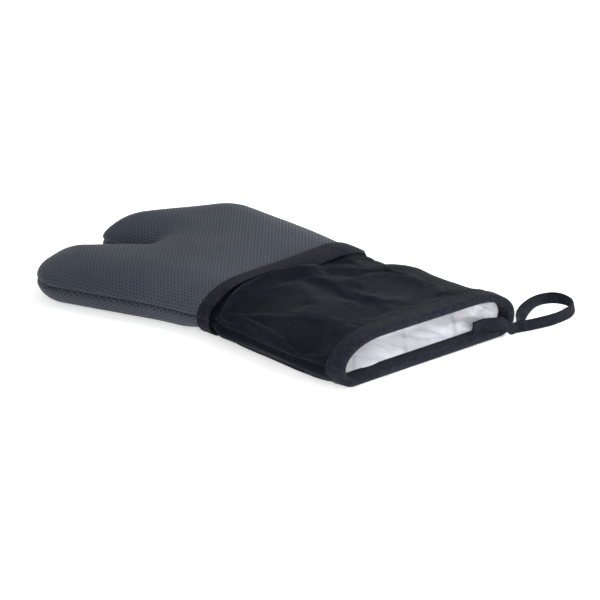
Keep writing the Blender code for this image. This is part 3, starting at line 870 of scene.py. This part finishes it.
def stitchRow(name, line, outward, body, node):
    # each stitch is a six-sided tube on a parabola that dives into the cloth, repeated at equal steps
    reach = lengthAlong(line)
    count = max(2, int(reach[-1] / stitch["pitch"]))
    centres = (np.arange(count) + 0.5) * reach[-1] / count
    shares = np.linspace(-0.5, 0.5, 5)
    at = centres[:, None] + shares * stitch["length"]
    spine = np.stack([np.interp(at, reach, line[:, i]) for i in range(3)], axis=-1)
    out = np.stack([np.interp(at, reach, outward[:, i]) for i in range(3)], axis=-1)
    out = unit(out)
    aside = np.cross(out, unit(np.gradient(spine, axis=1)))
    thick = stitch["width"] / 2 * np.sqrt(np.clip(1.02 - (2 * shares) ** 2, 0.02, 1))
    spine = spine - out * (stitch["dive"] * (2 * shares[:, None]) ** 2)
    turn = np.arange(6) * math.pi / 3
    ringPoints = spine[:, :, None] + thick[:, None, None] * (
        np.cos(turn)[:, None] * out[:, :, None] + np.sin(turn)[:, None] * aside[:, :, None]
    )
    points = ringPoints.reshape(-1, 3)
    quads = []
    for j in range(4):
        for k in range(6):
            a, b = j * 6 + k, j * 6 + (k + 1) % 6
            quads.append((a, b, b + 6, a + 6))
    ends = [(0, 5, 4, 3), (0, 3, 2, 1), (24, 25, 26, 27), (24, 27, 28, 29)]
    one = np.array(quads + ends)
    every = (one[None] + 30 * np.arange(count)[:, None, None]).reshape(-1, 4)
    return finishPiece(makeMesh(name, points, every, materials["thread"]), body, [node])


def ringOutward(line):
    # direction away from the ring's middle, square to its run: the run's cross product with +X
    out = unit(np.cross(unit(np.gradient(line, axis=0)), np.array([1.0, 0, 0])))
    return out if ((line - line.mean(0)) * out).sum() >= 0 else -out


def buildStitches():
    # a row on the binding outside and one inside, parallel to the mouth, then the edge seam
    middle, run = mouthLine()
    point = middle + np.array([stitch["fromEdge"] - tape["bindingWidth"], 0])
    outside = -tape["gap"] - tape["thickness"] - 0.35 * mm
    inside = tape["wall"] + tape["gap"] + tape["thickness"] + 0.2 * mm
    for word, inset, way in (("outer", outside, 1), ("inner", inside, -1)):
        line = ringLine(point, run, inset)
        line = np.concatenate([line, line[:1]])
        stitchRow("mouth_stitches_" + word, line, way * ringOutward(line), "hand", "binding_stitch_" + word)
    buildSeams()
    print("stitches done")


def buildSeams():
    # thread in the groove of the edge seam, one row for each stretch between two crossings of the edge
    path = edgeLine(stitch["seamInset"])
    middle, run = mouthLine()
    mouth = crossings(middle - [tape["bindingWidth"] + 0.6 * mm, 0], run, path)[1]
    half = tape["bandWidth"] / 2 + 0.5 * mm
    wrist = [crossings(*acrossAt(jointX + d), path)[1] for d in (-half, half)]
    fingers, thumb = [
        [crossings(*foldLine(lobe, distance), path)[1] for distance in (-0.3 * mm, 0.3 * mm)]
        for lobe in ("fingers", "thumb")
    ]
    stretches = (
        ("cuff_seam_outer", mouth[0], wrist[1][0], "hand"),
        ("hand_seam_outer", wrist[0][0], fingers[0][-1], "hand"),
        ("fingers_seam", fingers[1][-1], fingers[1][-2], "fingers"),
        ("notch_seam", fingers[0][-2], thumb[0][-2], "hand"),
        ("thumb_seam", thumb[1][-2], thumb[1][-1], "thumb"),
        ("hand_seam_thumb_side", thumb[0][-1], wrist[0][-1], "hand"),
        ("cuff_seam_thumb_side", wrist[1][-1], mouth[-1], "hand"),
    )
    for node, first, last, body in stretches:
        flat = alongPath(path, np.linspace(min(first, last), max(first, last), 300))
        line = np.column_stack([flat, np.full(len(flat), mitt["seam"])])
        _, inwards = edgeDistance(flat)
        out = np.column_stack([-inwards, np.zeros(len(flat))])
        stitchRow(node + "_stitches", line, out, body, node)


loop = {
    "length": 70 * mm,
    "width": 29 * mm,
    "fullness": 0.65,
    "opening": 0.75,  # radians left out on either side of the root
    "tape": 10 * mm,
    "thickness": 1.6 * mm,
    "turn": math.radians(94),
    "clearance": 2.4 * mm,
    "floor": 0.4 * mm,
    "rise": 3 * mm,
    "tail": 38 * mm,
    "tailInside": 8 * mm,
    "tailHeight": 1.2 * mm,  # over the tape inside the lower lip
    "crossing": 14 * mm,
    "drop": 14 * mm,
    "depth": 4 * mm,
    "threads": 26,
}


def mouthCorner():
    # end of the mouth on the thumb's side
    ends, _ = crossings(*mouthLine(), edgeLine(0))
    return ends[-1]


def tapeOnEdge(name, line, run, low, lean, closed):
    # a woven tape on its edge along a line: a rounded profile that leans by an angle and ripples slightly
    run = unit(run)
    aside = np.column_stack([run[:, 1], -run[:, 0], np.zeros(len(run))])
    upright = np.column_stack([aside[:, :2] * np.sin(lean)[:, None], np.cos(lean)])
    facing = np.column_stack([aside[:, :2] * np.cos(lean)[:, None], -np.sin(lean)])
    half = loop["thickness"] / 2
    tall = np.linspace(0, 1, 13)
    outline = [(math.sqrt(max(0, 1 - (2 * t - 1) ** 8)) * half, t) for t in tall]
    outline += [(-w, t) for w, t in outline[::-1][1:-1]]
    spine = np.column_stack([line, low + loop["tape"] / 2])
    length = lengthAlong(line)
    points = []
    for w, t in outline:
        ripple = 0.12 * mm * np.sin(length / (4 * mm) + 5 * t)
        points.append(spine + facing * (w + ripple)[:, None] + upright * ((t - 0.5) * loop["tape"]))
    points = np.stack(points + points[:1])
    if closed:
        points = np.concatenate([points, points[:, :1]], axis=1)
        length = np.append(length, length[-1] + 1 * mm)
    wide = np.array([t for _, t in outline] + [0]) * loop["tape"]
    cloth = np.stack(np.broadcast_arrays(length[None], wide[:, None]), axis=-1)
    rows, columns = points.shape[:2]
    quads = [gridQuads(rows, columns, 0, False)]
    if not closed:
        for end, flip in ((0, False), (columns - 1, True)):
            ring = np.arange(13) * columns + end
            other = (np.arange(24, 11, -1) % 24) * columns + end
            quads.append(bridge(ring, other, flip))
    quads = np.concatenate(quads)
    return makeMesh(name, points.reshape(-1, 3), quads, materials["tape"], cloth.reshape(-1, 2))


def buildLoop():
    # a teardrop: reach is half of one minus the cosine, width the sine times the sine of the half angle
    _, along = mouthLine()
    front = np.array([along[1], -along[0]])
    root = mouthCorner() + loop["clearance"] * (along + front)
    turns = np.concatenate([[0.0], np.linspace(loop["opening"], 2 * math.pi - loop["opening"], 110)])
    reach = loop["length"] * (1 - np.cos(turns)) / 2
    beside = -loop["fullness"] * loop["width"] * np.sin(turns) * np.sin(turns / 2)
    out, aside = heading(loop["turn"]), heading(loop["turn"] + math.pi / 2)
    line = root + np.outer(reach, out) + np.outer(beside, aside)
    run = np.roll(line, -1, axis=0) - np.roll(line, 1, axis=0)
    rise = loop["floor"] + loop["rise"] * np.clip(-np.sin(turns), 0, 1)
    lean = 0.85 * hump(turns, 5.2, 0.6) - 0.25 * hump(turns, 2.6, 0.8)
    item = tapeOnEdge("hanging_tape", line, run, rise, lean, True)
    finishPiece(item, "loop", ["hanging_loop"])
    # the sewn end: above the lower lip inside the mouth, out over the lip and down in front of it
    place = np.linspace(-loop["tail"], loop["clearance"] - 0.6 * mm, 70)
    inwards = place + loop["tail"] - loop["tailInside"]
    crossed = smooth(inwards / loop["crossing"])
    ahead = (loop["clearance"] + loop["depth"]) * crossed - loop["depth"]
    lip = mitt["cuffLift"] + tape["wall"] + tape["gap"] + tape["thickness"] + loop["tailHeight"]
    dropped = smooth((inwards - loop["crossing"]) / loop["drop"])
    low = lip + (loop["floor"] - lip) * dropped
    line = mouthCorner() + np.outer(place, along) + np.outer(ahead, front)
    lean = 0.12 * np.sin(place / (9 * mm))
    tail = tapeOnEdge("loop_end", line, np.gradient(line, axis=0), low, lean, False)
    finishPiece(tail, "hand", ["loop_tail"])
    buildFray(line[0], -along, low[0])
    print("loop done")


def buildFray(start, away, low):
    # loose threads at the cut end of the tape, each a thin three-sided strand that sinks as a parabola
    rng = np.random.default_rng(8)
    count = loop["threads"]
    points, quads = [], []
    for k in range(count):
        base = np.array([*start, low + loop["tape"] * (k + 0.5) / count])
        out = np.array([*away, rng.uniform(-0.5, 0.4)]) + rng.normal(0, 0.25, 3) * [1, 1, 0.6]
        reach = rng.uniform(1.2, 3.4) * mm
        steps = np.linspace(0, 1, 4)[:, None]
        spine = base + steps * out * reach + steps ** 2 * np.array([0, 0, -0.5 * reach])
        for j, centre in enumerate(spine):
            half = 0.13 * mm * (1 - 0.2 * j)
            points += [centre + [0, 0, half], centre + [half, 0, -half], centre + [-half, 0, -half]]
        first = k * 12
        for j in range(3):
            for side in range(3):
                a, b = first + j * 3 + side, first + j * 3 + (side + 1) % 3
                quads.append((a, b, b + 3, a + 3))
    item = makeMesh("loop_end_threads", np.array(points), quads, materials["thread"], weld=False)
    finishPiece(item, "hand", [])


class Wire:
    # one socket of a node tree; the operators add Math nodes
    def __init__(self, tree, socket):
        self.tree, self.socket = tree, socket

    def node(self, kind, settings=None, values=None, output=0):
        made = self.tree.nodes.new(kind)
        for name, value in (settings or {}).items():
            setattr(made, name, value)
        for name, value in (values or {}).items():
            if isinstance(value, Wire):
                self.tree.links.new(value.socket, made.inputs[name])
            else:
                made.inputs[name].default_value = value
        return Wire(self.tree, made.outputs[output])

    def maths(self, operation, *values):
        return self.node("ShaderNodeMath", {"operation": operation}, dict(enumerate(values)))

    def __add__(self, other):
        return self.maths("ADD", self, other)

    def __sub__(self, other):
        return self.maths("SUBTRACT", self, other)

    def __mul__(self, other):
        return self.maths("MULTIPLY", self, other)

    def __rsub__(self, other):
        return self.maths("SUBTRACT", other, self)

    __radd__ = __add__

    def sine(self):
        return self.maths("SINE", self)

    def span(self, low, high):
        # 0 below low, 1 above high, smooth between
        settings = {"interpolation_type": "SMOOTHSTEP"}
        return self.node("ShaderNodeMapRange", settings, {0: self, 1: low, 2: high})

    def mix(self, first, second):
        # the first colour where this is 0, the second where it is 1
        colour = lambda value: value if isinstance(value, Wire) else (*value, 1)
        settings = {"data_type": "RGBA"}
        return self.node("ShaderNodeMix", settings, {0: self, 6: colour(first), 7: colour(second)}, 2)


class Finish:
    # a Principled material; place and cloth are the wires of its Object and cloth coordinates
    def __init__(self, name, roughness, sheen=0.0, specular=0.3):
        self.material = bpy.data.materials.new(name)
        self.material.use_nodes = True
        self.tree = self.material.node_tree
        self.shader = self.tree.nodes["Principled BSDF"]
        self.shader.inputs["Roughness"].default_value = roughness
        self.shader.inputs["Sheen Weight"].default_value = sheen
        self.shader.inputs["Sheen Roughness"].default_value = 0.5
        self.shader.inputs["Specular IOR Level"].default_value = specular
        coordinates = self.tree.nodes.new("ShaderNodeTexCoord")
        self.place = Wire(self.tree, coordinates.outputs["Object"])
        self.cloth = Wire(self.tree, coordinates.outputs["UV"])

    def noise(self, scale, detail=2.0, rough=0.5):
        values = {"Vector": self.place, "Scale": scale, "Detail": detail, "Roughness": rough}
        return self.place.node("ShaderNodeTexNoise", None, values)

    def split(self, source):
        node = self.tree.nodes.new("ShaderNodeSeparateXYZ")
        self.tree.links.new(source.socket, node.inputs[0])
        return [Wire(self.tree, socket) for socket in node.outputs]

    def give(self, socket, wire):
        self.tree.links.new(wire.socket, self.shader.inputs[socket])

    def bump(self, height, depth, strength=1.0):
        values = {"Height": height, "Distance": depth, "Strength": strength}
        self.give("Normal", self.place.node("ShaderNodeBump", None, values))


knit = {
    "rows": 2.75 * mm,  # from one row of dimples to the next
    "angles": (44, 104, 164),
    "edge": (-0.7, 2.7),  # of the three waves' sum, from between the dimples to their bottoms
    "depth": 0.45 * mm,
}


def shellMaterial():
    # coated knit: three sines 60 degrees apart add up to a close lattice of small dimples, painted darker
    # as shade in their hollows
    f = Finish("grey_coated_knit", 0.6, 0.03, 0.18)
    x, y, _ = f.split(f.cloth)
    drift = f.noise(60.0, 2.0) * (0.8 * mm)
    lattice = None
    for angle in knit["angles"]:
        k = 2 * math.pi / knit["rows"] * heading(math.radians(angle))
        term = ((x + drift) * float(k[0]) + (y - drift) * float(k[1]) + math.pi / 2).sine()
        lattice = term if lattice is None else lattice + term
    dimple = lattice.span(*knit["edge"])
    cloud = f.noise(14.0, 3.0)
    fine = f.noise(900.0, 2.0)
    base = cloud.span(0.3, 0.7).mix((0.034, 0.042, 0.058), (0.047, 0.056, 0.074))
    # painted shade: the base colour is darkened inside each dimple, where the hollow would be in shade
    f.give("Base Color", (dimple * 0.75).mix(base, (0.012, 0.015, 0.023)))
    f.give("Roughness", 0.50 + dimple * 0.25 + fine * 0.08)
    f.bump(fine * 0.08 - dimple, knit["depth"], 0.9)
    return f.material


def weave(f, pitch):
    # plain weave: the product of two sines, so that warp and weft rise in turn
    x, y, _ = f.split(f.cloth)
    k = math.pi / pitch
    return (x * k).sine() * (y * k).sine()


def cottonMaterial():
    # plain weave under a slightly fluffy, cloudy black
    f = Finish("black_cotton", 0.95, 0.04, 0.05)
    threads = weave(f, 0.55 * mm)
    cloud = f.noise(22.0, 4.0, 0.6)
    fluff = f.noise(420.0, 3.0, 0.7)
    base = cloud.span(0.3, 0.72).mix((0.0038, 0.0044, 0.0092), (0.0092, 0.0102, 0.0180))
    f.give("Base Color", fluff.span(0.3, 0.75).mix((0.0030, 0.0033, 0.0068), base))
    f.give("Roughness", 0.88 + cloud * 0.1)
    f.bump(threads * 0.35 + fluff * 0.5, 0.25 * mm, 0.6)
    return f.material


def tapeMaterial():
    # twill: slanting ribs, a sine of the sum of both cloth coordinates
    f = Finish("black_twill_tape", 0.9, 0.04, 0.06)
    x, y, _ = f.split(f.cloth)
    ribs = ((x + y) * (2 * math.pi / (1.0 * mm))).sine()
    fluff = f.noise(300.0, 3.0, 0.6)
    f.give("Base Color", fluff.span(0.3, 0.75).mix((0.0060, 0.0064, 0.0112), (0.0145, 0.0152, 0.0240)))
    f.give("Roughness", 0.7 + fluff * 0.2)
    f.bump(ribs * 0.3 + fluff * 0.4, 0.22 * mm, 0.6)
    return f.material


def liningMaterial():
    # white weave with painted shade on the quilting's sewn lines, where the square of their sine is near
    # zero
    f = Finish("white_quilted_cotton", 0.85, 0.1, 0.2)
    threads = weave(f, 0.6 * mm)
    cloud = f.noise(35.0, 3.0)
    creases = f.noise(90.0, 2.0)
    x, y, _ = f.split(f.place)
    run = quilt["angle"]
    first = ((x * math.cos(run) + y * math.sin(run) - quilt["start"]) * (math.pi / quilt["pitch"])).sine()
    second = ((y * math.cos(run) - x * math.sin(run)) * (math.pi / quilt["pitch"])).sine()
    # painted shade: the sewn lines and the crossing lines are darkened in the base colour, where the
    # creases would be in shade
    sewnLineShade = 1 - (first * first).span(0.0, 0.035)
    crossed = 1 - (second * second).span(0.0, 0.02)
    white = cloud.span(0.3, 0.7).mix((0.86, 0.86, 0.92), (0.96, 0.96, 1.0))
    f.give("Base Color", (sewnLineShade * 0.4 + crossed * 0.2).mix(white, (0.50, 0.50, 0.57)))
    f.give("Roughness", 0.8 + cloud * 0.12)
    f.bump(threads * 0.12 + creases * 0.5, 0.5 * mm, 0.5)
    return f.material


def waddingMaterial():
    # off-white fibres: one rough noise for colour and height
    f = Finish("wadding_fibre", 0.95, 0.1, 0.1)
    fibre = f.noise(260.0, 5.0, 0.7)
    f.give("Base Color", fibre.span(0.3, 0.7).mix((0.62, 0.61, 0.57), (0.80, 0.79, 0.76)))
    f.bump(fibre, 0.6 * mm, 0.8)
    return f.material


def threadMaterial():
    # black thread: one very fine noise for colour and height
    f = Finish("black_thread", 0.9, 0.03, 0.0)
    twist = f.noise(1500.0, 2.0)
    f.give("Base Color", twist.span(0.3, 0.7).mix((0.004, 0.004, 0.006), (0.014, 0.014, 0.018)))
    f.bump(twist, 0.1 * mm, 0.5)
    return f.material


studio = {
    "floorSize": 12,
    "floorLow": -0.0002,
    "floorColour": (0.92, 0.92, 0.92, 1),
    "floorGlow": 0.5,
    "worldStrength": 0.55,
    "lens": 114,
    "camera": (1.0467, -0.9902, 0.5846),
    "azimuth": math.radians(44.36),
    "elevation": math.radians(22.5),
}
# place, aim, size in metres, power in watts, spread in degrees
lights = {
    "top_softbox": ((0.55, 0.65, 1.15), (0.05, 0, 0), 0.8, 15, 180),
    "camera_side_fill": ((0.5, -1.4, 0.9), (0, 0, 0), 1.1, 7, 180),
    "mouth_fill": ((1.2, -0.75, 0.5), (0.21, 0, 0.02), 0.2, 0.12, 12),
}


def buildStage():
    # a pale floor that glows a little, just below the mitt
    material = bpy.data.materials.new("pale_floor")
    material.use_nodes = True
    shader = material.node_tree.nodes["Principled BSDF"]
    shader.inputs["Base Color"].default_value = studio["floorColour"]
    shader.inputs["Roughness"].default_value = 0.9
    shader.inputs["Emission Color"].default_value = (1, 1, 1, 1)
    shader.inputs["Emission Strength"].default_value = studio["floorGlow"]
    bpy.ops.mesh.primitive_plane_add(size=studio["floorSize"], location=(0, 0, studio["floorLow"]))
    floor = bpy.context.object
    floor.name = "floor"
    floor.data.materials.append(material)
    print("floor done")


def buildLights():
    # square area lights, each turned from its place to its aim, and a white world
    for name, (place, aim, size, power, spread) in lights.items():
        light = bpy.data.lights.new(name, "AREA")
        light.shape, light.size, light.energy = "SQUARE", size, power
        light.spread = math.radians(spread)
        item = addObject(name, light)
        item.location = place
        item.rotation_euler = (Vector(aim) - Vector(place)).to_track_quat("-Z", "Y").to_euler()
    world = bpy.data.worlds.new("white_studio")
    world.use_nodes = True
    background = world.node_tree.nodes["Background"]
    background.inputs["Color"].default_value = (1, 1, 1, 1)
    background.inputs["Strength"].default_value = studio["worldStrength"]
    bpy.context.scene.world = world
    bpy.context.scene.view_settings.view_transform = "Standard"
    print("lights done")


def buildCamera():
    # looks along the point of a sphere that azimuth and elevation give
    camera = bpy.data.cameras.new("camera")
    camera.sensor_width = 36
    camera.lens = studio["lens"]
    camera.clip_start, camera.clip_end = 0.05, 30
    item = addObject("camera", camera)
    item.location = studio["camera"]
    azimuth, elevation = studio["azimuth"], studio["elevation"]
    level = math.cos(elevation)
    aim = Vector((-math.sin(azimuth) * level, math.cos(azimuth) * level, -math.sin(elevation)))
    item.rotation_euler = aim.to_track_quat("-Z", "Y").to_euler()
    bpy.context.scene.camera = item


materials = {
    "shell": shellMaterial(),
    "cotton": cottonMaterial(),
    "tape": tapeMaterial(),
    "lining": liningMaterial(),
    "wadding": waddingMaterial(),
    "thread": threadMaterial(),
}
buildCamera()
buildStage()
buildLights()
buildHand()
buildCuff()
buildTapes()
buildStitches()
buildLoop()
